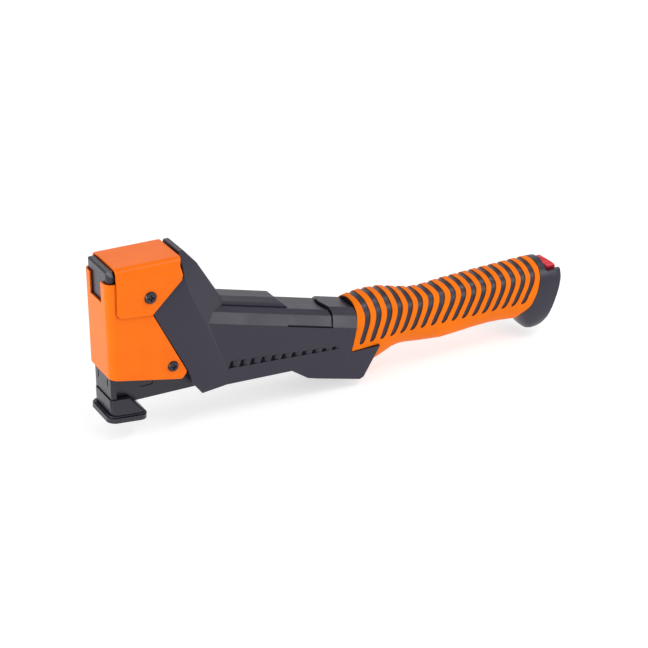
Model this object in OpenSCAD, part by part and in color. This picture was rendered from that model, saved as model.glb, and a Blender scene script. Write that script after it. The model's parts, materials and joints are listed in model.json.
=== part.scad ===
// Hammer tacker: a staple gun that is swung like a hammer. Its nose and magazine pivot up on a pin near
// the butt, so the fixed driver blade pushes one staple out through the strike shoe.
// +X runs along the magazine to the butt, +Z runs against the driving direction, and the origin is on
// the strike face below the front cover.

/* [Head] */
// Half width of the painted front cover
cover_hw = 18; // [17.5:0.5:18]
// Radius of the front cover's two upright corners
cover_corner_r = 5; // [4.5:0.5:7]
// Thickness of the cover and cap sheet
sheet_t = 1.2; // [1:0.1:1.2]
// Height of the front cover's top edge
cover_top = 92.3; // [91:0.1:93]
// Height of the cap's flat top
cap_top = 101.2; // [101:0.1:101.4]
// Outer radius of the cap's two long bends
cap_bend_r = 4.5; // [4:0.5:6]
// Radius of the cover screws' heads
cover_screw_head_r = 4; // [3.8:0.1:4.2]

/* [Shells] */
// Half width of the side panels
shell_hw = 18; // [17.5:0.5:18]
// Half width of the faceted flare behind the cover
flare_hw = 20.5; // [19.5:0.5:21]
// Wall thickness of the side panels
shell_wall = 2.4; // [2:0.2:2.6]
// Slope of the shell's top, in degrees
top_slope = 14.3; // [14:0.1:14.5]
// Number of vent notches in each side panel
vent_count = 11; // [8:1:11]
// Distance between vent notches
vent_pitch = 7.3; // [6.5:0.1:7.4]

/* [Handle] */
// Thickness of the rubber sleeve over the handle core
sleeve_t = 2; // [1.6:0.2:2.2]
// Number of sides in the handle's cross section
handle_sides = 40; // [24:4:48]

/* [Magazine] */
// Half width of the magazine channel
mag_hw = 8; // [7.8:0.1:8.2]
// Height of the magazine's underside
mag_bottom = 8.4; // [8.2:0.1:8.6]
// Height of the magazine's top
mag_top = 21.4; // [21:0.1:21.6]
// Distance of the pivot pin behind the front cover
pivot_x = 305; // [303:1:306]
// Height of the pivot pin
pivot_z = 25; // [24.5:0.5:25.5]
// Radius of the pivot pin
pivot_r = 2.5; // [2:0.1:2.8]
// Length of the strip of staples
strip_len = 72; // [30:1:80]

/* [Shoe] */
// Slope of the strike face, in degrees
sole_slope = 5; // [4:0.5:6]
// Half width of the strike shoe
shoe_hw = 16; // [15:0.5:17]

/* [Hidden] */

$fn = 48;
orange_paint = "#fc7a12";
dark_plastic = "#423e4b";
black_steel = "#26252c";
bright_steel = "#b9bac0";
eps = 0.05;
far = 200;

fit = 0.05;              // radial clearance of a running fit
gap = 0.4;               // gap between neighbouring covers
cover_in = cover_hw - sheet_t;
cap_in = cover_hw + 0.1;
cap_hw = cap_in + sheet_t;
cap_step = 0.8;          // the cap is narrower above the cover's top edge
upper_screw = [27.2, 80];
lower_screw = [40.6, 30.9];
screw_r = 2;
nose_rivet = [3.9, 7.5];
channel_rivet = [11, 11];
rivet_r = 1.1;
block_z = 49;            // underside of the head block
frame_hw = 10.6;
frame_t = 1.4;
frame_in = frame_hw - frame_t;
driver_x = 4.2;
driver_t = 1.2;
driver_hw = 5.5;
rivet_z = [56, 70];
shell_bosses = [[57, 84], [72, 46], [112, 41.8], [158, 0.8]];
boss_r = 4.4;
spring_x = 30;
rod_z = 18.3;
rod_r = 0.9;
frame_end = 317;
channel_end = 313;
plug_x = 315;
butt_screw_at = [314, 17.6];
butt_open_hw = 9.6;
button_floor = 31.5;     // underside of the release button's cap

// ---------- helpers ----------
// An X-Z outline, swept from y0 to y1
module side_plate(points, y0, y1) {
    translate([0, y1, 0]) rotate([90, 0, 0]) linear_extrude(y1 - y0) polygon(points);
}
// A round bar along Y
module bar_y(x, z, r, y0, y1) {
    translate([x, y0, z]) rotate([-90, 0, 0]) cylinder(h = y1 - y0, r = r);
}
// A round bar along X
module bar_x(y, z, r, x0, x1) {
    translate([x0, y, z]) rotate([0, 90, 0]) cylinder(h = x1 - x0, r = r);
}
// A block between two corners
module block(lo, hi) {
    translate(lo) cube(hi - lo);
}
// The same thing on both sides
module both_sides() {
    children();
    mirror([0, 1, 0]) children();
}
// A flat rounded rectangle with true arcs
module round_rect(x0, x1, hw, r) {
    translate([x0 + r, -hw]) square([x1 - x0 - 2 * r, 2 * hw]);
    translate([x0, -hw + r]) square([x1 - x0, 2 * hw - 2 * r]);
    for (x = [x0 + r, x1 - r], y = [-hw + r, hw - r]) translate([x, y]) circle(r);
}
// A cross-recess screw along +Y, its head's face at y = 0 and its shank behind
module screw(head_r, head_h, length) {
    difference() {
        union() {
            rotate([-90, 0, 0]) cylinder(h = head_h, r1 = head_r * 0.82, r2 = head_r);
            rotate([-90, 0, 0]) translate([0, 0, head_h - eps]) cylinder(h = length, r = screw_r);
        }
        for (a = [0, 90]) rotate([0, a, 0]) block([-head_r * 0.5, -1, -0.55], [head_r * 0.5, head_h * 0.6, 0.55]);
    }
}
// A coil of round wire around Z
function coil_points(r, wire, height, turns, steps, sides) = [
    for (i = [0:turns * steps], k = [0:sides - 1])
        let (a = 360 * i / steps, b = 360 * k / sides, rr = r + wire * cos(b))
        [rr * cos(a), rr * sin(a), height * i / (turns * steps) + wire * sin(b)]];
module coil(r, wire, height, turns, steps = 14, sides = 6) {
    rings = turns * steps;
    walls = [for (i = [0:rings - 1], k = [0:sides - 1], half = [0, 1])
        let (a = i * sides + k, b = i * sides + (k + 1) % sides)
        half == 0 ? [a, b, b + sides] : [a, b + sides, a + sides]];
    ends = [[for (k = [sides - 1:-1:0]) k], [for (k = [0:sides - 1]) rings * sides + k]];
    polyhedron(coil_points(r, wire, height, turns, steps, sides), concat(walls, ends), convexity = 10);
}

// ---------- handle loft ----------
handle_top = [[160, 38.6], [170, 41], [176, 42.6], [185, 43.8], [198, 43.2], [209, 40.4], [222, 37.4], [232, 37.2],
    [245, 38.4], [262, 39.1], [278, 39.7], [295, 40.4], [311, 41], [318, 40.8], [324, 40], [329, 38.8], [332, 37.6]];
handle_bottom = [[160, -6], [180, -4.6], [188, -3.9], [194, -1.6], [200, 1.2], [206, 2.4], [212, 2.2], [221, 1],
    [239, -0.6], [251, 0.2], [263, 1.2], [277, 1.7], [286, 1.3], [294, 0.4], [298, 0.1], [301, -0.9],
    [304, -3.9], [307, -7.3], [310, -9.8], [312, -10.6], [317, -10.1], [322, -8.4], [327, -5.4], [332, -1]];
handle_half_width = [[160, 18], [172, 17.8], [188, 17], [200, 16], [212, 15.2], [225, 15], [240, 15.4], [262, 15.6],
    [280, 15.4], [295, 15.2], [308, 15.8], [318, 16], [324, 15.8], [328, 15.6], [332, 14.6]];
handle_stations = concat([for (x = [160:6:298]) x], [for (x = [301:3:325]) x], [328, 330, 332]);
// A rounded-square angle step keeps the section fuller than an ellipse
function squircle(a, p) = [sign(cos(a)) * pow(abs(cos(a)), 2 / p), sign(sin(a)) * pow(abs(sin(a)), 2 / p)];
function handle_ring(x, inset) =
    let (top = lookup(x, handle_top), bottom = lookup(x, handle_bottom),
        hw = lookup(x, handle_half_width) - inset, hh = (top - bottom) / 2 - inset)
    [for (k = [0:handle_sides - 1])
        let (c = squircle(360 * k / handle_sides, 2.35)) [x, hw * c[0], (top + bottom) / 2 + hh * c[1]]];
module handle_loft(inset) {
    stations = handle_stations;
    points = [for (x = stations) each handle_ring(x, inset)];
    last = len(stations) - 1;
    walls = [for (i = [0:last - 1], k = [0:handle_sides - 1], half = [0, 1])
        let (a = i * handle_sides + k, b = i * handle_sides + (k + 1) % handle_sides)
        half == 0 ? [a, a + handle_sides, b + handle_sides] : [a, b + handle_sides, b]];
    ends = [[for (k = [0:handle_sides - 1]) k], [for (k = [handle_sides - 1:-1:0]) last * handle_sides + k]];
    polyhedron(points, concat(walls, ends), convexity = 6);
}
// The grip's slanted front edge and the foot of its side, then the curved joint with the butt
grip_front = [[174.6, 60], [171.5, 34.4], [165.6, 11.6], [187.3, 11.6], [175.4, -8], [168, -20]];
butt_joint = [[309, 60], [314.5, 37], [314, 31], [311, 21.5], [306.5, 12.5], [300, 6.5], [292, -20]];
module grip_zone(rear_gap) {
    side_plate(concat(grip_front, [for (i = [6:-1:0]) butt_joint[i] - [rear_gap, 0]]), -30, 30);
}

// ---------- head ----------
cover_outline = [[0, 30.2], [44.8, 21.2], [46.6, 21.3], [49.2, 24], [49.5, 26], [28.2, 69], [31, 74.6], [31, 92.3],
    [0, 92.3]];
module front_cover() {
    color(orange_paint) difference() {
        intersection() {
            difference() {
                linear_extrude(far) cover_plan(cover_hw, 0);
                translate([0, 0, -1]) linear_extrude(far + 2) cover_plan(cover_in, sheet_t);
            }
            side_plate(cover_outline, -far, far);
        }
        block([-1, -8.5, 78.3], [sheet_t + 1, 8.5, cover_top + 1]);
        for (s = [upper_screw, lower_screw]) bar_y(s[0], s[1], screw_r + 0.2, -far / 2, far / 2);
    }
}
// Plan of the cover: two rounded front corners and straight sides
module cover_plan(hw, inset) {
    r = cover_corner_r - inset;
    translate([inset + r, -hw]) square([70, 2 * hw]);
    translate([inset, -hw + r]) square([70, 2 * hw - 2 * r]);
    for (y = [-hw + r, hw - r]) translate([inset + r, y]) circle(r);
}
cap_outline = [[5.6, 73], [7.4, 70.2], [28.2, 68.4], [48, 87.2], [48.7, 90.3], [47.4, 96.8], [49.2, 102.4],
    [6.4, 102.4]];
// Section of the cap: it steps in at a height above the cover's top edge, then bends over to the flat top
module cap_section(hw, top, r, bottom, step) {
    neck = hw - cap_step;
    neck_z = step + 2 * cap_step;
    translate([-hw, bottom]) square([2 * hw, step - bottom]);
    polygon([[-hw, step], [hw, step], [neck, neck_z], [-neck, neck_z]]);
    translate([-neck, neck_z]) square([2 * neck, top - neck_z - r]);
    translate([-neck + r, neck_z]) square([2 * neck - 2 * r, top - neck_z]);
    for (y = [-neck + r, neck - r]) translate([y, top - r]) circle(r);
}
module top_cap() {
    color(orange_paint) difference() {
        intersection() {
            rotate([90, 0, 90]) linear_extrude(60) difference() {
                cap_section(cap_hw, cap_top, cap_bend_r, 60, cover_top + 0.8);
                cap_section(cap_in, cap_top - sheet_t, cap_bend_r - sheet_t, 59, cover_top + 0.2);
            }
            side_plate(cap_outline, -far, far);
        }
        bar_y(upper_screw[0], upper_screw[1], screw_r + 0.2, -far / 2, far / 2);
    }
}
block_hw = 15.2;
block_top = cap_top - sheet_t - 0.3;
face_hw = 16.2;          // the face is wider, with rounded upright edges
face_r = 3.4;
module head_block() {
    upright = [[-block_hw, block_z], [block_hw, block_z], [block_hw, 96], [12, block_top], [-12, block_top],
        [-block_hw, 96]];
    face_upright = [[-face_hw, 70], [face_hw, 70], [face_hw, 96.5], [13.5, block_top], [-13.5, block_top],
        [-face_hw, 96.5]];
    face_outline = [[1.5, 74], [1.5, block_top - 1], [2.5, block_top], [9, block_top], [9, 74]];
    color(black_steel) difference() {
        union() {
            side_profile_x(upright, driver_x + driver_t + 0.3, 39.7);
            intersection() {
                linear_extrude(far) front_face_plan();
                side_plate(face_outline, -far, far);
                side_profile_x(face_upright, 0, 12);
            }
            side_plate([[39, 56], [51.5, 56], [48.3, 94], [39, 94]], -frame_in + 0.2, frame_in - 0.2);
        }
        block([driver_x - 0.3, -6, 70], [driver_x + driver_t + 0.35, 6, 91.5]);
        both_sides() bar_y(upper_screw[0], upper_screw[1], screw_r, 8, 20);
        for (z = rivet_z) bar_x(0, z, 1.5, 0, 12);
        translate([spring_x, 0, block_z - 1]) cylinder(h = 4, r = 6.8);
    }
}
// Plan of the block's face between the cover's corners
module front_face_plan() {
    translate([1.5, -face_hw + face_r]) square([7.5, 2 * (face_hw - face_r)]);
    translate([1.5 + face_r, -face_hw]) square([7.5 - face_r, 2 * face_hw]);
    for (y = [-face_hw + face_r, face_hw - face_r]) translate([1.5 + face_r, y]) circle(face_r);
}
module driver_blade() {
    color(bright_steel) difference() {
        side_profile_x([[-driver_hw, 17.6], [driver_hw, 17.6], [driver_hw, 78], [3.4, 79.5], [2.3, 90], [-2.3, 90],
            [-3.4, 79.5], [-driver_hw, 78]], driver_x, driver_x + driver_t);
        for (z = rivet_z) bar_x(0, z, 1.5, 0, 12);
    }
}
// A Y-Z outline, swept from x0 to x1
module side_profile_x(points, x0, x1) {
    translate([x0, 0, 0]) rotate([90, 0, 90]) linear_extrude(x1 - x0) polygon(points);
}
module driver_rivets() {
    color(black_steel) for (z = rivet_z) {
        bar_x(0, z, 1.5, driver_x, 12);
        bar_x(0, z, 2.8, driver_x - 1, driver_x);
    }
}
module cover_screws() {
    color(black_steel) both_sides() {
        translate([upper_screw[0], -cap_hw - 1.3, upper_screw[1]]) screw(cover_screw_head_r, 1.3, 9);
        translate([lower_screw[0], -cover_hw - 1.3, lower_screw[1]]) screw(cover_screw_head_r - 0.5, 1.3, 7.8);
    }
}
module cover_spacers() {
    color(bright_steel) both_sides() difference() {
        bar_y(lower_screw[0], lower_screw[1], 4.2, frame_hw, cover_in);
        bar_y(lower_screw[0], lower_screw[1], screw_r + 0.2, frame_hw - 1, cover_in + 1);
    }
}

// ---------- frame and shells ----------
frame_outline = [[35, 25.5], [35, 36.5], [43, 48], [43, 94], [50, 90], [54, 66], [63, 38], [205, 28.7],
    [293, 28.7], [299, 30.2], [frame_end, 30.2], [frame_end, 15], [60, 16], [50, 25.5]];
frame_hollow = [[30, 0], [30, 100], [48, 100], [52, 60], [61, 36.6], [205, 27.3], [293, 27.3], [293, 60],
    [330, 60], [330, 0]];
module handle_frame() {
    color(black_steel) difference() {
        side_plate(frame_outline, -frame_hw, frame_hw);
        side_plate(frame_hollow, -frame_in, frame_in);
        bar_y(lower_screw[0], lower_screw[1], screw_r, -20, 20);
        bar_y(pivot_x, pivot_z, pivot_r, -20, 20);
        bar_y(butt_screw_at[0], butt_screw_at[1], 1.5, 0, 20);
    }
}
// The shell's top follows one slope from the flare to the grip
top_start = [66, 60.5];
module along_top(x0, length, section) {
    translate([top_start[0], 0, top_start[1]]) rotate([0, top_slope, 0]) translate([x0, 0, 0])
        rotate([90, 0, 90]) linear_extrude(length) polygon(section);
}
body_outline = [[59.6, 7.7], [76.5, 9.6], [122.1, 8.1], [127.8, 4.2], [133.6, 0.3], [140, -1.6], [171.6, -9.6],
    [174.4, -8.6], [186.6, 11.2], [165.1, 11.2], [171, 34.4], [172, 44], [120, 60], [52, 84], [52, 30]];
flare_low = [[49.9, 91], [49.3, 87.2], [29.1, 68.6], [51.1, 24.9], [54.2, 14.8], [59.6, 7.7], [76.5, 9.6],
    [76.1, 23.3]];
flare_high = [[51.6, 79.6], [37.7, 67.4], [61.9, 14.4], [61, 30.5], [54.5, 57.7]];
flare_crown = [[49.9, 102.6], [53, 102.6], [61.6, 92.8], [70.4, 77], [60, 60]];
flare_shoulder = [top_start, [60, 60], [60, 50]];
flare_tail = [[70, 60], [79, 64.6], [79, 60]];
// Half sections across the slope: the sides lean in towards a bevelled top
lean_start = -6.5;
shoulder = [14.6, 0];
top_edge = [10.4, 2.5];
function mirrored_plan(half) = concat(half, [for (i = [len(half) - 1:-1:1]) [half[i][0], -half[i][1]]]);
function mirrored(half) = concat(half, [for (i = [len(half) - 1:-1:0]) [-half[i][0], half[i][1]]]);
side_half = [[shell_hw, -90], [shell_hw, lean_start], shoulder];
outer_half = concat(side_half, [top_edge]);
collar_half = concat(side_half, [[13, 2.2], [9.2, 4.4]]);
inner_half = [[shell_hw - shell_wall, -90], [shell_hw - shell_wall, lean_start],
    [shoulder[0] - shell_wall, shoulder[1] - 1.2], [top_edge[0] - 1, top_edge[1] - 2.2]];
spine_half = [[9, 1], [8.8, 5.2], [5.6, 7.8]];
collar_at = 86.2;        // the collar ahead of the grip starts here, along the slope
collar_sweep = 4;        // its front edge sweeps back towards the sides
// A prism standing on the slope, from an outline seen square to it
module slope_plan(points) {
    translate([top_start[0], 0, top_start[1]]) rotate([0, top_slope, 0]) translate([0, 0, -15])
        linear_extrude(30) polygon(points);
}
module shell_outside() {
    intersection() {
        side_plate(body_outline, -shell_hw, shell_hw);
        union() {
            along_top(-30, 200, mirrored(outer_half));
            intersection() {
                along_top(collar_at, 80, mirrored(collar_half));
                slope_plan(mirrored_plan([[collar_at, 0], [collar_at + collar_sweep, -shoulder[0]],
                    [collar_at + collar_sweep, -20], [170, -20]]));
            }
        }
    }
    intersection() {
        along_top(5, 60, mirrored(spine_half));
        side_plate([[66, 90], [66, 58], [118, 45], [124, 48.5], [116.8, 55.6]], -20, 20);
    }
    hull() {
        side_plate(flare_low, -shell_hw, shell_hw);
        side_plate(flare_high, -flare_hw, flare_hw);
        side_plate(flare_crown, -11, 11);
        side_plate(flare_shoulder, -shoulder[0], shoulder[0]);
        side_plate(flare_tail, -8, 8);
    }
}
// Hollow of the shells; the underside is open ahead of the hand guard
cavity = [[20, -20], [20, 84], [51, 84], [62.5, 60.5], [66, 66], [166, 40],
    [166, 12], [181, 9.5], [172, -6.5], [166, -6], [140, 1.5], [134, 3.5], [128, 7.5], [122, 10.8], [118, -20]];
crown_cavity = [[44, 75], [44, 97], [50.5, 97], [53.5, 90], [62, 72], [62, 58], [48, 50]];
// The shells stop short of the rear edges of the cover and the cap
front_clearance = [[54, 0], [54, 14.8], [50.8, 24.9], [28.8, 68.7], [49.3, 88.2], [49.8, 91], [49.8, 110], [20, 110],
    [20, 0]];
// Tunnel for the frame and the magazine
tunnel = [[100, 6.5], [190, 6.5], [190, 33], [150, 33], [100, 24]];
// A louvre is deep at its front edge, and its floor ramps out to the surface behind
module vents() {
    for (i = [0:vent_count - 1]) {
        fade = 1 - 0.055 * i;
        depth = (shell_wall - 0.4) * fade;
        bottom = 20.2 - 0.42 * i;
        plan = [[0, -shell_hw - 1], [vent_pitch - 0.9, -shell_hw - 1], [vent_pitch - 0.9, -shell_hw],
            [2.4, -shell_hw + depth * 0.7], [0.6, -shell_hw + depth], [0, -shell_hw + depth]];
        intersection() {
            translate([77.6 + i * vent_pitch, 0, bottom]) rotate([0, 24, 0])
                translate([0, 0, -6]) linear_extrude(18) polygon(plan);
            block([70, -20, bottom], [180, 0, bottom + 4.8 * fade]);
        }
    }
}
// Narrow grooves that bound the rear top panel
module panel_grooves() {
    depth = 1;
    groove_w = 1.2;
    wall = -shell_hw + depth;
    low = lean_start - groove_w / 2;
    swept = collar_at + collar_sweep;
    intersection() {
        along_top(collar_at - 5, 15, [[-20, low], [wall, low], [wall, lean_start],
            [-shoulder[0] + depth, shoulder[1] - depth * 0.6], [-top_edge[0], top_edge[1] - depth],
            [1, top_edge[1] - depth], [1, 12], [-20, 12]]);
        slope_plan([[collar_at - groove_w, 0.5], [swept - groove_w, -shoulder[0]], [swept - groove_w, -20],
            [swept, -20], [swept, -shoulder[0]], [collar_at, 0.5]]);
    }
    along_top(57, swept - 57, [[-20, low], [wall, low], [wall, low + groove_w], [-20, low + groove_w]]);
}
// The half of the casing on the -Y side
module shell_half() {
    difference() {
        intersection() {
            shell_outside();
            block([-10, -60, -60], [400, -eps, 160]);
        }
        difference() {
            union() {
                intersection() {
                    side_plate(cavity, -shell_hw + shell_wall, 1);
                    union() {
                        along_top(0, 200, mirrored(inner_half));
                        block([0, -20, -20], [64, 2, 100]);
                    }
                }
                side_plate(crown_cavity, -frame_hw - 0.2, 1);
            }
            for (b = shell_bosses) bar_y(b[0], b[1], boss_r, -30, 0);
        }
        side_plate(front_clearance, -30, 1);
        side_plate(tunnel, -frame_hw - 0.5, 1);
        vents();
        panel_grooves();
    }
}
module left_shell() {
    color(dark_plastic) difference() {
        shell_half();
        for (b = shell_bosses) bar_y(b[0], b[1], 1.3, -12, 1);
    }
}
module right_shell() {
    color(dark_plastic) difference() {
        mirror([0, 1, 0]) shell_half();
        for (b = shell_bosses) {
            bar_y(b[0], b[1], 1.6, -1, 30);
            bar_y(b[0], b[1], 3.2, 8, 30);
        }
    }
}
module shell_screws() {
    color(black_steel) for (b = shell_bosses) {
        bar_y(b[0], b[1], 1.3, -10, 8);
        bar_y(b[0], b[1], 2.9, 8, 9.8);
    }
}

// ---------- handle ----------
core_hollow = [[150, 6], [316, 6], [316, 31], [295, 31], [291, 29], [205, 29], [150, 32.8]];
module grip_core() {
    color(dark_plastic) difference() {
        intersection() {
            handle_loft(sleeve_t + 0.02);
            grip_zone(gap);
        }
        side_plate(core_hollow, -frame_hw - 0.3, frame_hw + 0.3);
    }
}
module grip_sleeve() {
    color(orange_paint) intersection() {
        difference() {
            handle_loft(0);
            handle_loft(sleeve_t);
        }
        grip_zone(gap);
    }
}
// The butt's end leans forward at the bottom, and its rims are low beside the release button
rim_top = 33.2;
butt_end = [[345, 60], [319.4, 60], [319.4, 34.6], [320.8, rim_top], [331.7, rim_top], [330.6, 27.5], [328.4, 21],
    [325.9, 13.5], [323.4, 5.5], [321.6, 0], [319, -4.8], [312, -20], [345, -20]];
// A bridge across the button's pocket carries its spring
bridge_top = 24.2;
pocket = [319.2, 331.9];
pocket_hw = 8.3;
module butt_cap() {
    color(dark_plastic) difference() {
        handle_loft(0);
        side_plate(concat(butt_joint, [[100, -20], [100, 60]]), -30, 30);
        side_plate(butt_end, -30, 30);
        difference() {
            union() {
                side_plate([[280, 4.6], [frame_end + 1, 4.6], [frame_end + 1, 31], [280, 32]],
                    -frame_hw - 0.3, frame_hw + 0.3);
                block([280, -butt_open_hw, 5.6], [345, butt_open_hw, 23.2]);
                block([pocket[0], -pocket_hw, 20], [328.6, pocket_hw, 60]);
            }
            block([323.6, -12, 22.8], [327.6, 12, bridge_top]);
        }
        side_plate([[pocket[0], 60], [pocket[0], 33], [328, 24.8], [345, 24.8], [345, 60]], -pocket_hw, pocket_hw);
        bar_y(butt_screw_at[0], butt_screw_at[1], 1.5, 8, 30);
        bar_y(butt_screw_at[0], butt_screw_at[1], 3, 13.6, 30);
    }
}
module butt_screw() {
    color(black_steel) {
        bar_y(butt_screw_at[0], butt_screw_at[1], 1.5, frame_in + 0.1, 13.6);
        bar_y(butt_screw_at[0], butt_screw_at[1], 2.7, 13.6, 15);
    }
}
module pivot_pin() {
    color(bright_steel) bar_y(pivot_x, pivot_z, pivot_r, -frame_hw - 0.2, frame_hw + 0.2);
}
module pivot_spacers() {
    color(bright_steel) both_sides() difference() {
        bar_y(pivot_x, pivot_z, 4.4, mag_hw + 0.15, frame_in);
        bar_y(pivot_x, pivot_z, pivot_r, mag_hw, frame_in + 1);
    }
}

// ---------- magazine ----------
ear = [[pivot_x - 8, mag_top - 2], [pivot_x - 5, 29], [pivot_x + 5, 29], [pivot_x + 8, mag_top - 2]];
// Tall cheeks close the gap below the front cover
cheek = [[6.4, mag_top - 1], [6.4, 33.4], [50, 27], [58, mag_top - 1]];
// Shallow half-oval recess behind the nose
side_recess = [[22, 17.4], [23, 16.6], [30, 16.6], [31, 17.4], [31, 23], [22, 23]];
module magazine_channel() {
    wall = 1.2;
    color(black_steel) difference() {
        union() {
            block([6.4, -mag_hw, mag_bottom], [channel_end, mag_hw, mag_top]);
            side_plate(ear, -mag_hw, mag_hw);
            side_plate(cheek, -mag_hw, mag_hw);
        }
        block([0, -mag_hw + wall, mag_top], [70, mag_hw - wall, 40]);
        block([0, -mag_hw + wall, mag_bottom + 1], [330, mag_hw - wall, mag_top - wall]);
        block([0, -5.6, 0], [330, 5.6, mag_bottom + 2]);
        block([250, -mag_hw + wall, mag_top], [330, mag_hw - wall, 40]);
        bar_y(pivot_x, pivot_z, pivot_r + fit, -20, 20);
        bar_y(channel_rivet[0], channel_rivet[1], rivet_r, -20, 20);
        both_sides() side_plate(side_recess, -20, -mag_hw + 0.5);
    }
}
module nose_plate() {
    color(black_steel) difference() {
        block([1.6, -12, 3], [5.2, 12, 33]);
        block([3.1, -10.5, 0], [6.2, 10.5, 40]);
        both_sides() block([0, 6.5, 21.8], [4, 7.9, 26.8]);
        bar_y(nose_rivet[0], nose_rivet[1], rivet_r, -20, 20);
    }
}
module nose_rivets() {
    color(black_steel) both_sides() {
        bar_y(nose_rivet[0], nose_rivet[1], rivet_r, 9.9, 13.6);
        bar_y(channel_rivet[0], channel_rivet[1], rivet_r, 6.4, 10.6);
    }
}
module strike_shoe() {
    color(black_steel) difference() {
        union() {
            rotate([0, sole_slope, 0]) {
                linear_extrude(3.2) round_rect(-1.8, 24.4, shoe_hw, 5.5);
                translate([0, 0, 3.1]) linear_extrude(1.1) round_rect(-0.9, 23.5, shoe_hw - 0.9, 4.9);
            }
            hull() {
                rotate([0, sole_slope, 0]) translate([0, 0, 4.1])
                    linear_extrude(1.6) round_rect(0.6, 22.4, shoe_hw - 1.6, 4);
                translate([0, 0, 13.6]) rotate([0, sole_slope, 0])
                    linear_extrude(0.6) round_rect(0.8, 14.6, 12.9, 2.6);
            }
        }
        block([1.4, -12.2, 3], [5.4, 12.2, 30]);
        block([3.1, -10.5, -9], [6.4, 10.5, 30]);
        block([5, -mag_hw - 0.3, 8.1], [40, mag_hw + 0.3, 30]);
        both_sides() bar_y(nose_rivet[0], nose_rivet[1], rivet_r, 9, 13.6);
        both_sides() bar_y(channel_rivet[0], channel_rivet[1], rivet_r, 7, 10.6);
    }
}
module spring_seat() {
    color(bright_steel) translate([spring_x, 0, mag_top]) {
        cylinder(h = 1, r = 6.5);
        cylinder(h = 5, r = 3.6);
    }
}
module return_spring() {
    color(bright_steel) translate([spring_x, 0, mag_top + 1.9]) coil(5.2, 0.75, block_z + 2 - mag_top - 1.9, 7);
}

// ---------- rail, pusher and staples ----------
module staple_rail() {
    color(bright_steel) difference() {
        block([6.8, -4, mag_bottom + 0.6], [plug_x, 4, 15.6]);
        block([0, -3.1, 0], [plug_x - 2, 3.1, 14.7]);
    }
}
module rail_plug() {
    outline = [[plug_x, 7.2], [325, 7.2], [329.2, 21.6], [plug_x + 9.6, 21.6], [plug_x + 9.6, 20.2],
        [plug_x, 20.2]];
    color(dark_plastic) difference() {
        side_plate(outline, -8.4, 8.4);
        side_plate([[324.6, 10], [340, 10], [340, 18.6], [327.1, 18.6]], -5, 5);
    }
}
module latch_leaf() {
    color(bright_steel) side_plate([[plug_x + 0.5, 20.2], [plug_x + 0.5, 20.9], [plug_x + 3, 21.7],
        [plug_x + 9.2, 21.7], [plug_x + 9.2, 20.9], [plug_x + 3.4, 20.9], [plug_x + 2.4, 20.2]], -4, 4);
}
module guide_rod() {
    color(bright_steel) bar_x(0, rod_z, rod_r, 20, plug_x);
}
module staples() {
    color(bright_steel) difference() {
        block([6.8, -5.35, 9.1], [6.8 + strip_len, 5.35, 16.9]);
        block([0, -4.1, 0], [100, 4.1, 15.7]);
    }
}
pusher_x = 6.8 + strip_len + 0.3;
module pusher() {
    color(black_steel) difference() {
        union() {
            block([pusher_x, -5.4, mag_bottom + 2.4], [pusher_x + 16, 5.4, 17.2]);
            block([pusher_x + 8, -4.2, 17.1], [pusher_x + 16, 4.2, 19.9]);
        }
        block([0, -4.1, 0], [200, 4.1, 15.7]);
        bar_x(0, rod_z, rod_r + fit, 0, 200);
    }
}
module pusher_spring() {
    start = pusher_x + 16.4;
    length = plug_x - start - 0.4;
    color(bright_steel) translate([start, 0, rod_z]) rotate([0, 90, 0]) coil(1.5, 0.25, length, 30, 8, 5);
}

// ---------- release button ----------
module release_button() {
    cap = [[319.8, button_floor], [319.8, 38.6], [320.6, 39.8], [322.6, 39.8], [325.2, 38.7], [328, 36.6],
        [330.2, 33.8], [331.5, 30.6], [331.5, 28.2], [328.4, 28.2], [328.4, button_floor]];
    color("#d21428") {
        intersection() {
            side_plate(cap, -7.9, 7.9);
            linear_extrude(60) round_rect(319.8, 331.5, 7.9, 4);
            bar_x(0, 30.8, 9.1, 319, 332);
        }
        block([320.2, -4.5, 25], [322.6, 4.5, button_floor + 0.1]);
    }
}
module button_spring() {
    length = button_floor - bridge_top - 0.9;
    color(bright_steel) translate([325.6, 0, bridge_top + 0.45]) coil(1.5, 0.3, length, 5, 12, 6);
}

front_cover();
top_cap();
head_block();
driver_blade();
driver_rivets();
cover_screws();
cover_spacers();
handle_frame();
left_shell();
right_shell();
shell_screws();
grip_core();
grip_sleeve();
butt_cap();
butt_screw();
pivot_pin();
pivot_spacers();
magazine_channel();
nose_plate();
nose_rivets();
strike_shoe();
spring_seat();
return_spring();
staple_rail();
rail_plug();
latch_leaf();
guide_rod();
staples();
pusher();
pusher_spring();
release_button();
button_spring();
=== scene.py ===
"""Hammer tacker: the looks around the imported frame. Metres, in the frame's own axes."""

import json
import math

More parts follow.
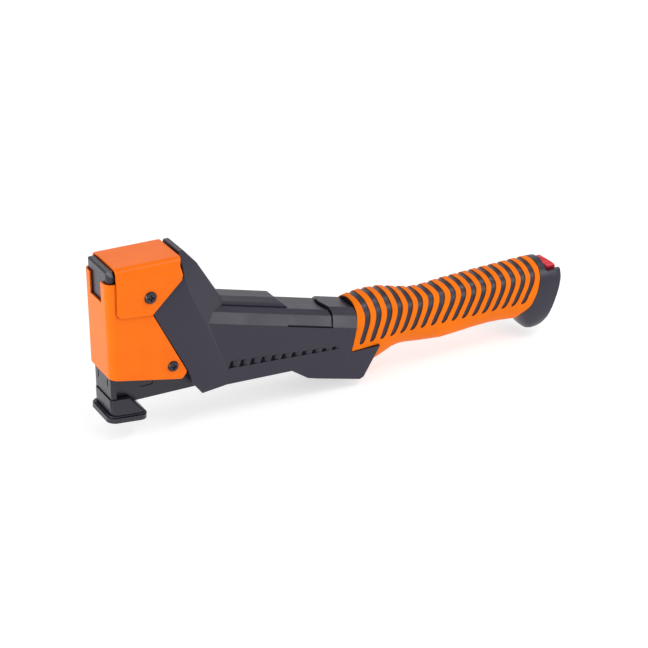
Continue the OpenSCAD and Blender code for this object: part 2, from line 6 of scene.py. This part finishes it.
import bmesh
import bpy
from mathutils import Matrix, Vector


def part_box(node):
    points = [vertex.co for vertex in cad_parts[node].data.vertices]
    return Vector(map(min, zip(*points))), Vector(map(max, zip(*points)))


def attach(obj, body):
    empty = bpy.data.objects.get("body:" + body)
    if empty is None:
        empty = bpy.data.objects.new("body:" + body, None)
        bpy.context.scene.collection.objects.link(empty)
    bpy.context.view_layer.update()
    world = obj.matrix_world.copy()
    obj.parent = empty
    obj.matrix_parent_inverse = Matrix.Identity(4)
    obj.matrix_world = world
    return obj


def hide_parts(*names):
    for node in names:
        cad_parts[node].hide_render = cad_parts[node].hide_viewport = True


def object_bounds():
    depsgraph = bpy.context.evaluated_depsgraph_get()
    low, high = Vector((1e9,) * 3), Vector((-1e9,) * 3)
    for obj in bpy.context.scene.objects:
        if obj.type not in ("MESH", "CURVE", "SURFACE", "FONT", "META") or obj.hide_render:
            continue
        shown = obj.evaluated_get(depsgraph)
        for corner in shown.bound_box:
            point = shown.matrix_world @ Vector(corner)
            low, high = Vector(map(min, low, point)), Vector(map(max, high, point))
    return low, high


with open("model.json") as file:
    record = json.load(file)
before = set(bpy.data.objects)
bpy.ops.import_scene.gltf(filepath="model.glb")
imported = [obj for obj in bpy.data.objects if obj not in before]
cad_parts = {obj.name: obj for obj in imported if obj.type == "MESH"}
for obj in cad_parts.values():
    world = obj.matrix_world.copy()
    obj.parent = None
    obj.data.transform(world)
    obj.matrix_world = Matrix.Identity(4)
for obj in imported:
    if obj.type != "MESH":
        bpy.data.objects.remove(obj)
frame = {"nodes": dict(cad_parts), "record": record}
cad_low, cad_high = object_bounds()
nodes = frame["nodes"]
MM = 0.001


# ---------------------------------------------------------------- materials
# Painted shade in crevices: how far it reaches, and how dark it is at the bottom of a crevice
PAINTED_SHADE_REACH = 4 * MM
PAINTED_SHADE_DARKEST = 0.25    # what colour and sheen are multiplied by at the bottom of a crevice
GRAIN_STRENGTH = 0.15
GRAIN_HEIGHT = 0.2 * MM


def new_material(name):
    """A material, its node tree and its Principled node."""
    mat = bpy.data.materials.new(name)
    mat.use_nodes = True
    tree = mat.node_tree
    return mat, tree, tree.nodes["Principled BSDF"]


def add(tree, kind, **sockets):
    """A shader node with its sockets set by name."""
    node = tree.nodes.new(kind)
    for key, value in sockets.items():
        node.inputs[key.replace("_", " ")].default_value = value
    return node


def colour(r, g, b):
    return (r, g, b, 1.0)


def grey(value):
    return colour(value, value, value)


def shade(base, factors):
    """The base colour with each channel multiplied by its factor."""
    return colour(*[channel * factor for channel, factor in zip(base, factors)])


def object_noise(tree, scale, detail=3.0, roughness=0.55):
    """Noise that keeps its place on the object."""
    coords = tree.nodes.new("ShaderNodeTexCoord")
    noise = add(tree, "ShaderNodeTexNoise", Scale=scale, Detail=detail, Roughness=roughness)
    tree.links.new(coords.outputs["Object"], noise.inputs["Vector"])
    return noise


def ramp(tree, source, low, high, at_low=0.3, at_high=0.7):
    """Maps a 0 to 1 value onto two colours."""
    node = tree.nodes.new("ShaderNodeValToRGB")
    node.color_ramp.elements[0].position = at_low
    node.color_ramp.elements[0].color = low
    node.color_ramp.elements[1].position = at_high
    node.color_ramp.elements[1].color = high
    tree.links.new(source, node.inputs["Fac"])
    return node


def bump(tree, bsdf, height, strength, distance):
    node = add(tree, "ShaderNodeBump", Strength=strength, Distance=distance)
    tree.links.new(height, node.inputs["Height"])
    tree.links.new(node.outputs["Normal"], bsdf.inputs["Normal"])


def vary_roughness(tree, bsdf, source, low, high):
    """Roughness that follows the source between two values."""
    rough = ramp(tree, source, grey(low), grey(high))
    tree.links.new(rough.outputs["Color"], bsdf.inputs["Roughness"])


def painted_crevice_shade(tree, bsdf, source, specular):
    """Painted shade: darkens colour and sheen where surfaces meet, where shadow falls."""
    occlusion = add(tree, "ShaderNodeAmbientOcclusion", Distance=PAINTED_SHADE_REACH)
    depth = ramp(tree, occlusion.outputs["AO"], grey(PAINTED_SHADE_DARKEST), grey(1.0), at_low=0.35, at_high=0.85)
    mix = tree.nodes.new("ShaderNodeMix")
    mix.data_type = "RGBA"
    mix.blend_type = "MULTIPLY"
    mix.inputs["Factor"].default_value = 1.0
    tree.links.new(source, mix.inputs["A"])
    tree.links.new(depth.outputs["Color"], mix.inputs["B"])
    tree.links.new(mix.outputs["Result"], bsdf.inputs["Base Color"])
    sheen = add(tree, "ShaderNodeMath")
    sheen.operation = "MULTIPLY"
    sheen.inputs[1].default_value = specular
    tree.links.new(depth.outputs["Color"], sheen.inputs[0])
    tree.links.new(sheen.outputs["Value"], bsdf.inputs["Specular IOR Level"])


def painted(name, base, roughness):
    """Satin powder coat: a thin clear coat, faint orange peel and slight tone variation."""
    mat, tree, bsdf = new_material(name)
    bsdf.inputs["Roughness"].default_value = roughness
    bsdf.inputs["Coat Weight"].default_value = 0.06
    bsdf.inputs["Coat Roughness"].default_value = 0.15
    tone = object_noise(tree, 60.0)
    mix = ramp(tree, tone.outputs["Fac"], shade(base, (0.94, 0.9, 0.9)), colour(*base))
    # Painted shade darkens the coat's colour and sheen in crevices.
    painted_crevice_shade(tree, bsdf, mix.outputs["Color"], specular=0.12)
    peel = object_noise(tree, 900.0, detail=2.0)
    bump(tree, bsdf, peel.outputs["Fac"], strength=0.06, distance=0.4 * MM)
    return mat


def moulded(name, base, roughness, grain, specular):
    """Moulded plastic with a fine spark-eroded grain."""
    mat, tree, bsdf = new_material(name)
    tone = object_noise(tree, 35.0)
    mix = ramp(tree, tone.outputs["Fac"], shade(base, (0.86, 0.86, 0.88)), colour(*base))
    # Painted shade darkens the plastic's colour and sheen in crevices.
    painted_crevice_shade(tree, bsdf, mix.outputs["Color"], specular)
    vary_roughness(tree, bsdf, tone.outputs["Fac"], roughness - 0.05, roughness + 0.05)
    fine = object_noise(tree, grain, detail=2.0, roughness=0.6)
    bump(tree, bsdf, fine.outputs["Fac"], GRAIN_STRENGTH, GRAIN_HEIGHT)
    return mat


def steel(name, base, roughness, stretch, metallic):
    """Ground or blackened steel. A stretch below 1 draws its grain out into lines along that axis."""
    mat, tree, bsdf = new_material(name)
    bsdf.inputs["Metallic"].default_value = metallic
    coords = tree.nodes.new("ShaderNodeTexCoord")
    mapping = add(tree, "ShaderNodeMapping", Scale=stretch)
    lines = add(tree, "ShaderNodeTexNoise", Scale=700.0, Detail=3.0)
    tree.links.new(coords.outputs["Object"], mapping.inputs["Vector"])
    tree.links.new(mapping.outputs["Vector"], lines.inputs["Vector"])
    mix = ramp(tree, lines.outputs["Fac"], shade(base, (0.8, 0.8, 0.8)), colour(*base))
    # Painted shade darkens the steel's colour and sheen in crevices.
    painted_crevice_shade(tree, bsdf, mix.outputs["Color"], specular=0.5)
    vary_roughness(tree, bsdf, lines.outputs["Fac"], roughness - 0.06, roughness + 0.1)
    bump(tree, bsdf, lines.outputs["Fac"], strength=0.08, distance=0.2 * MM)
    return mat


def vent_shadow_black():
    """Near-black painted shadow for the dark inside a vent notch."""
    mat, _, bsdf = new_material("painted_vent_shadow")
    bsdf.inputs["Base Color"].default_value = colour(0.004, 0.004, 0.006)
    bsdf.inputs["Roughness"].default_value = 0.8
    bsdf.inputs["Specular IOR Level"].default_value = 0.1
    return mat


def floor_white():
    """A white floor that glows a little, so that shadows on it stay faint."""
    mat, _, bsdf = new_material("floor")
    bsdf.inputs["Base Color"].default_value = grey(0.5)
    bsdf.inputs["Emission Color"].default_value = grey(1.0)
    bsdf.inputs["Emission Strength"].default_value = 0.6
    bsdf.inputs["Roughness"].default_value = 0.9
    bsdf.inputs["Specular IOR Level"].default_value = 0.1
    return mat


by_slot = {
    "orange_paint": painted("orange_paint", (0.9, 0.16, 0.001), roughness=0.3),
    "orange_rubber": moulded("orange_rubber", (0.9, 0.18, 0.001), roughness=0.5, grain=1500.0, specular=0.1),
    "dark_plastic": moulded("dark_plastic", (0.020, 0.017, 0.034), roughness=0.34, grain=2600.0,
                            specular=0.42),
    "black_steel": steel("black_steel", (0.012, 0.010, 0.022), roughness=0.26, stretch=(1.0, 1.0, 1.0),
                         metallic=0.0),
    "bright_steel": steel("bright_steel", (0.62, 0.62, 0.64), roughness=0.28, stretch=(1.0, 1.0, 0.08),
                          metallic=1.0),
    "red_plastic": moulded("red_plastic", (0.64, 0.006, 0.022), roughness=0.35, grain=2000.0, specular=0.5),
}


# ---------------------------------------------------------------- meshes and edges
def link(obj):
    bpy.context.scene.collection.objects.link(obj)
    return obj


def mesh_object(name, mesh):
    """Turns a bmesh into a linked object whose normals agree."""
    bmesh.ops.recalc_face_normals(mesh, faces=mesh.faces)
    data = bpy.data.meshes.new(name)
    mesh.to_mesh(data)
    mesh.free()
    return link(bpy.data.objects.new(name, data))


def add_prism(mesh, outline, ends):
    """A closed prism through an outline of (x, z) points between two Y values, all in millimetres."""
    first, second = [[mesh.verts.new((x * MM, y * MM, z * MM)) for x, z in outline] for y in ends]
    mesh.faces.new(first)
    mesh.faces.new(second[::-1])
    for i in range(len(outline)):
        j = (i + 1) % len(outline)
        mesh.faces.new((first[j], first[i], second[i], second[j]))


def dress(obj, material, edge, over_angle):
    """Material, smooth shading, and rounded edges where faces meet at over an angle in degrees."""
    obj.data.materials.clear()
    obj.data.materials.append(material)
    for polygon in obj.data.polygons:
        polygon.use_smooth = True
    round_edges = obj.modifiers.new("round_edges", "BEVEL")
    round_edges.width = edge
    round_edges.segments = 3
    round_edges.limit_method = "ANGLE"
    round_edges.angle_limit = math.radians(over_angle)
    round_edges.use_clamp_overlap = True
    round_edges.harden_normals = True
    obj.modifiers.new("normals", "WEIGHTED_NORMAL").keep_sharp = True


# ---------------------------------------------------------------- carried-over CAD nodes
USUAL_EDGE = 0.4 * MM
OTHER_EDGES = {"left_shell": 0.7 * MM, "right_shell": 0.7 * MM, "release_button": 1.2 * MM,
               "butt_cap": 0.6 * MM, "head_block": 0.6 * MM, "strike_shoe": 0.5 * MM}
CAD_EDGE_ANGLE = 25.0    # degrees
WELD_DISTANCE = 0.001 * MM
FLAT_ANGLE = 0.5         # degrees: faces that differ by less become one


def finish_node(name, material):
    """Gives a CAD node its material, and rounds its edges without touching its mesh."""
    node = nodes[name]
    weld = node.modifiers.new("weld", "WELD")
    weld.merge_threshold = WELD_DISTANCE
    flat = node.modifiers.new("flat", "DECIMATE")
    flat.decimate_type = "DISSOLVE"
    flat.angle_limit = math.radians(FLAT_ANGLE)
    dress(node, material, OTHER_EDGES.get(name, USUAL_EDGE), CAD_EDGE_ANGLE)


for part in frame["record"]["subparts"]:
    finish_node(part["node"], by_slot[part["material_slot"]])


# ---------------------------------------------------------------- slotted grip
# Lengths here are millimetres until they are multiplied by MM.
# The handle's loft: its top, its underside and its half width against X
HANDLE_TOP = ((160, 38.6), (170, 41), (176, 42.6), (185, 43.8), (198, 43.2), (209, 40.4), (222, 37.4),
              (232, 37.2), (245, 38.4), (262, 39.1), (278, 39.7), (295, 40.4), (311, 41), (318, 40.8),
              (324, 40))
HANDLE_BOTTOM = ((160, -6), (180, -4.6), (188, -3.9), (194, -1.6), (200, 1.2), (206, 2.4), (212, 2.2),
                 (221, 1), (239, -0.6), (251, 0.2), (263, 1.2), (277, 1.7), (286, 1.3), (294, 0.4),
                 (298, 0.1), (301, -0.9), (304, -3.9), (307, -7.3), (310, -9.8), (312, -10.6), (317, -10.1),
                 (322, -8.4))
HANDLE_HALF_WIDTH = ((160, 18), (172, 17.8), (188, 17), (200, 16), (212, 15.2), (225, 15), (240, 15.4),
                     (262, 15.6), (280, 15.4), (295, 15.2), (308, 15.8), (318, 16))
ROUNDNESS = 2.35    # the loft's sections are superellipses: 2 is an ellipse, more is squarer
# The grip's edges from the side, as X and Z: the front ones lie ahead of GRIP_MIDDLE_X
GRIP_EDGE = ((174.6, 60), (171.5, 34.4), (165.6, 11.6), (187.3, 11.6), (175.4, -8), (168, -20), (292, -20),
             (300, 6.5), (306.5, 12.5), (311, 21.5), (314, 31), (314.5, 37), (309, 60))
GRIP_MIDDLE_X = 250
CUTTER_HALF_WIDTH = 30
# Each slot starts low on one side, runs up over the top and ends low on the other side
SLOTS = 17
FIRST_SLOT = 172.6
SLOT_PITCH = 7.9
SLOT_END_Z = 14.8
SLOT_END_RADIUS = 1.9
SLOT_END_ANGLES = (12, 35, 60, 90)
SLOT_HALF_WIDTH = 2.05
SHOULDER_Z = 34.5
# How far a slot leans back between its end and its shoulder, against where it starts
SLOT_LEAN = ((172.6, 6.2), (234.7, 10.0), (299, 9.1))
LEAN_LOST_ON_TOP = 1.6    # how much of that is gone again at the top's middle
# Rows of vertices below the slots' ends, from there to the shoulder, and over the top
UNDER_ROWS = 9
SIDE_ROWS = 14
FIRST_STRAIGHT_ROW = 2    # the first side row above a slot's rounded end
OVER_ROWS = 12
# Columns of vertices before the first slot, between two slots as shares of the pitch, and after the last
FRONT_COLUMNS = range(148, 170, 3)
BETWEEN_COLUMNS = (0.36, 0.5, 0.64)
REAR_COLUMNS = range(3, 20, 3)
CLOSED_HALF_WIDTH = 0.25    # half the distance between a slot's two columns on rows where it has ended
# The rubber skin, and the dark layer under it that shows in the slots
SKIN_THICKNESS = 0.7
SKIN_REAR_GAP = 0.4
RIBS_INSET = 0.65
RIBS_THICKNESS = 1.2
RIBS_GAP = 0.8
GRIP_EDGE_RADIUS = 0.2 * MM
SKIN_EDGE_ANGLE = 40    # degrees
RIBS_EDGE_ANGLE = 60    # degrees


def lookup(table, x):
    """The table's value at x, on straight lines between its points."""
    if x <= table[0][0]:
        return table[0][1]
    for (x0, y0), (x1, y1) in zip(table, table[1:]):
        if x <= x1:
            return y0 + (y1 - y0) * (x - x0) / (x1 - x0)
    return table[-1][1]


def loft_size(x, inset):
    """Middle height, half height and half width of the handle at x."""
    top = lookup(HANDLE_TOP, x)
    bottom = lookup(HANDLE_BOTTOM, x)
    return (top + bottom) / 2, (top - bottom) / 2 - inset, lookup(HANDLE_HALF_WIDTH, x) - inset


def power(value, exponent):
    """A power that keeps the value's sign."""
    return math.copysign(abs(value) ** exponent, value)


def angle_of_height(x, z):
    """The superellipse's angle at which the handle's surface is at height z."""
    middle, half_height, _ = loft_size(x, 0)
    ratio = max(-1.0, min(1.0, (z - middle) / half_height))
    return math.asin(power(ratio, ROUNDNESS / 2))


def grip_rows():
    """Rows from the underside's middle to the top's middle: zone, share of the zone, slot half width or 0."""
    rows = [("under", i / UNDER_ROWS, 0) for i in range(UNDER_ROWS)]
    for degrees in SLOT_END_ANGLES:
        turn = math.radians(degrees)
        rise = SLOT_END_RADIUS * (1 - math.cos(turn))
        rows.append(("side", rise / (SHOULDER_Z - SLOT_END_Z), SLOT_END_RADIUS * math.sin(turn)))
    for i in range(FIRST_STRAIGHT_ROW, SIDE_ROWS + 1):
        share = i / SIDE_ROWS
        rows.append(("side", share, SLOT_END_RADIUS + (SLOT_HALF_WIDTH - SLOT_END_RADIUS) * share))
    rows += [("over", i / OVER_ROWS, SLOT_HALF_WIDTH) for i in range(1, OVER_ROWS + 1)]
    return rows


def grip_columns():
    """Columns from front to rear: where they start, and -1 or 1 for a slot's front or rear edge, else 0."""
    columns = [(x, 0) for x in FRONT_COLUMNS]
    for k in range(SLOTS):
        centre = FIRST_SLOT + k * SLOT_PITCH
        columns += [(centre, -1), (centre, 1)]
        columns += [(centre + SLOT_PITCH * share, 0) for share in BETWEEN_COLUMNS]
    last = columns[-1][0]
    return columns + [(last + step, 0) for step in REAR_COLUMNS]


def grip_point(s, row, side, inset):
    """The point on a row whose leaning column starts at s, in metres."""
    zone, share, _ = row
    lean = lookup(SLOT_LEAN, s)
    x = s + {"under": 0.0,
             "side": lean * math.sin(share * math.pi / 2),
             "over": lean - LEAN_LOST_ON_TOP * share}[zone]
    end = angle_of_height(x, SLOT_END_Z)
    shoulder = angle_of_height(x, SHOULDER_Z)
    start, stop = {"under": (-math.pi / 2, end),
                   "side": (end, shoulder),
                   "over": (shoulder, math.pi / 2)}[zone]
    angle = start + (stop - start) * share
    middle, half_height, half_width = loft_size(x, inset)
    y = side * half_width * abs(math.cos(angle)) ** (2 / ROUNDNESS)
    return Vector((x, y, middle + half_height * power(math.sin(angle), 2 / ROUNDNESS))) * MM


def grip_sheet(name, inset, slotted):
    """A sheet all round the handle's loft at an inset, open at the slots if it is slotted."""
    half = grip_rows()
    ring = [(row, -1) for row in half] + [(row, 1) for row in half[-2:0:-1]]
    columns = grip_columns()
    mesh = bmesh.new()
    grid = [[mesh.verts.new(grip_point(s + edge * (row[2] or CLOSED_HALF_WIDTH), row, side, inset))
             for row, side in ring] for s, edge in columns]
    for i in range(len(columns) - 1):
        in_slot = slotted and columns[i][1] == -1
        for j in range(len(ring)):
            after = (j + 1) % len(ring)
            if in_slot and ring[j][0][2] and ring[after][0][2]:
                continue
            mesh.faces.new((grid[i][j], grid[i][after], grid[i + 1][after], grid[i + 1][j]))
    return mesh_object(name, mesh)


def grip_cutter(front_gap, rear_gap):
    """A prism through the grip's edges, drawn in by a gap at each end."""
    outline = [(x + front_gap if x < GRIP_MIDDLE_X else x - rear_gap, z) for x, z in GRIP_EDGE]
    mesh = bmesh.new()
    add_prism(mesh, outline, (-CUTTER_HALF_WIDTH, CUTTER_HALF_WIDTH))
    return mesh_object("grip_cutter", mesh)


def bake_modifiers(obj):
    """Swaps the object's mesh for the result of its modifiers."""
    bpy.context.view_layer.update()
    evaluated = obj.evaluated_get(bpy.context.evaluated_depsgraph_get())
    baked = bpy.data.meshes.new_from_object(evaluated)
    obj.modifiers.clear()
    obj.data = baked


def solid_layer(layer, thickness, front_gap, rear_gap):
    """Thickens a sheet inwards and trims it to the grip's edges."""
    shell = layer.modifiers.new("shell", "SOLIDIFY")
    shell.thickness = thickness * MM
    shell.offset = -1.0
    cutter = grip_cutter(front_gap, rear_gap)
    trim = layer.modifiers.new("trim", "BOOLEAN")
    trim.operation = "INTERSECT"
    trim.solver = "EXACT"
    trim.object = cutter
    bake_modifiers(layer)
    bpy.data.objects.remove(cutter)


def make_grip_skin():
    skin = grip_sheet("grip_skin", 0.0, slotted=True)
    solid_layer(skin, SKIN_THICKNESS, 0, SKIN_REAR_GAP)
    dress(skin, by_slot["orange_rubber"], GRIP_EDGE_RADIUS, SKIN_EDGE_ANGLE)
    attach(skin, "handle")
    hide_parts("grip_sleeve")


def make_grip_ribs():
    ribs = grip_sheet("grip_ribs", RIBS_INSET, slotted=False)
    solid_layer(ribs, RIBS_THICKNESS, RIBS_GAP, RIBS_GAP)
    dress(ribs, by_slot["dark_plastic"], GRIP_EDGE_RADIUS, RIBS_EDGE_ANGLE)
    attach(ribs, "handle")


make_grip_skin()
make_grip_ribs()


# ---------------------------------------------------------------- painted vent shadows
# The shells' vent notches in millimetres, as the CAD cuts them: each lies behind and a little below
# the one before, and is less tall
VENTS = 11
VENT_PITCH = 7.3
FIRST_VENT_X = 77.6
FIRST_VENT_Z = 20.2
VENT_DROP = 0.42
VENT_FADE = 0.055
SHADOW_SHEET_OUTLINE = ((0, 0), (3.2, 0), (3.6, 1.6), (3.2, 4.2), (2.2, 3.8))
# Depths of a painted shadow sheet's two faces behind the side panel
SHADOW_SHEET_DEPTHS = (0.3, 0.9)


def make_vent_shadow_sheets():
    """Near-black sheets of painted shadow in the deep end of each vent notch, one piece for both sides."""
    side_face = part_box("front_cover")[1].y / MM    # the side panels are level with the cover's sides
    mesh = bmesh.new()
    for side in (-1, 1):
        for i in range(VENTS):
            x = FIRST_VENT_X + i * VENT_PITCH
            z = FIRST_VENT_Z - VENT_DROP * i
            fade = 1 - VENT_FADE * i
            outline = [(x + along, z + up * fade) for along, up in SHADOW_SHEET_OUTLINE]
            add_prism(mesh, outline, [side * (side_face - depth) for depth in SHADOW_SHEET_DEPTHS])
    shadow_sheets = mesh_object("vent_shadow_sheets", mesh)
    shadow_sheets.data.materials.append(vent_shadow_black())
    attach(shadow_sheets, "handle")


make_vent_shadow_sheets()


# ---------------------------------------------------------------- camera, floor and light
CAMERA_AZIMUTH = math.radians(28.5)
CAMERA_ELEVATION = math.radians(25.2)
CAMERA_DISTANCE = 1.110
CAMERA_AIM = Vector((0.11898, -0.06632, 0.06170))
SENSOR_WIDTH = 36.0
FOCAL_LENGTH = 102.8
FLOOR_HALF_WIDTH = 6.0
FLOOR_GAP = 4 * MM
WORLD_STRENGTH = 0.7


def make_camera():
    back = Vector((-math.sin(CAMERA_AZIMUTH) * math.cos(CAMERA_ELEVATION),
                   -math.cos(CAMERA_AZIMUTH) * math.cos(CAMERA_ELEVATION),
                   math.sin(CAMERA_ELEVATION)))
    data = bpy.data.cameras.new("camera")
    data.sensor_width = SENSOR_WIDTH
    data.lens = FOCAL_LENGTH
    data.clip_start = 0.05
    data.clip_end = 20.0
    camera = link(bpy.data.objects.new("camera", data))
    camera.location = CAMERA_AIM + back * CAMERA_DISTANCE
    camera.rotation_mode = "QUATERNION"
    camera.rotation_quaternion = (-back).to_track_quat("-Z", "Y")
    bpy.context.scene.camera = camera


def make_floor():
    """A wide floor just below the tool's lowest point."""
    mesh = bpy.data.meshes.new("floor")
    z = cad_low.z - FLOOR_GAP
    corners = [(x * FLOOR_HALF_WIDTH, y * FLOOR_HALF_WIDTH, z)
               for x, y in ((-1, -1), (1, -1), (1, 1), (-1, 1))]
    mesh.from_pydata(corners, [], [(0, 1, 2, 3)])
    floor = link(bpy.data.objects.new("floor", mesh))
    mesh.materials.append(floor_white())


def make_world():
    world = bpy.data.worlds.new("world")
    world.use_nodes = True
    background = world.node_tree.nodes["Background"]
    background.inputs["Color"].default_value = grey(1.0)
    background.inputs["Strength"].default_value = WORLD_STRENGTH
    bpy.context.scene.world = world


def area_light(name, location, target, size, watts):
    data = bpy.data.lights.new(name, "AREA")
    data.shape = "RECTANGLE"
    data.size, data.size_y = size
    data.energy = watts
    light = link(bpy.data.objects.new(name, data))
    light.location = location
    light.rotation_mode = "QUATERNION"
    light.rotation_quaternion = (Vector(target) - Vector(location)).to_track_quat("-Z", "Y")


def make_lights():
    """Two long strips on the camera's side, a panel facing the nose and a faint one from behind."""
    middle = (cad_low + cad_high) / 2
    nose = (0.05, 0.0, 0.05)
    area_light("back", (0.55, 0.9, 0.5), middle, size=(0.9, 0.3), watts=0.35)
    area_light("key", (0.55, -0.45, 0.95), middle, size=(0.7, 0.12), watts=3.0)
    area_light("low_key", (0.88, -0.85, 0.5), middle, size=(0.6, 0.16), watts=2.2)
    area_light("front", (-0.8, -0.1, 0.3), nose, size=(0.4, 0.6), watts=4.5)


make_camera()
make_floor()
make_world()
make_lights()
bpy.context.scene.view_settings.view_transform = "Standard"
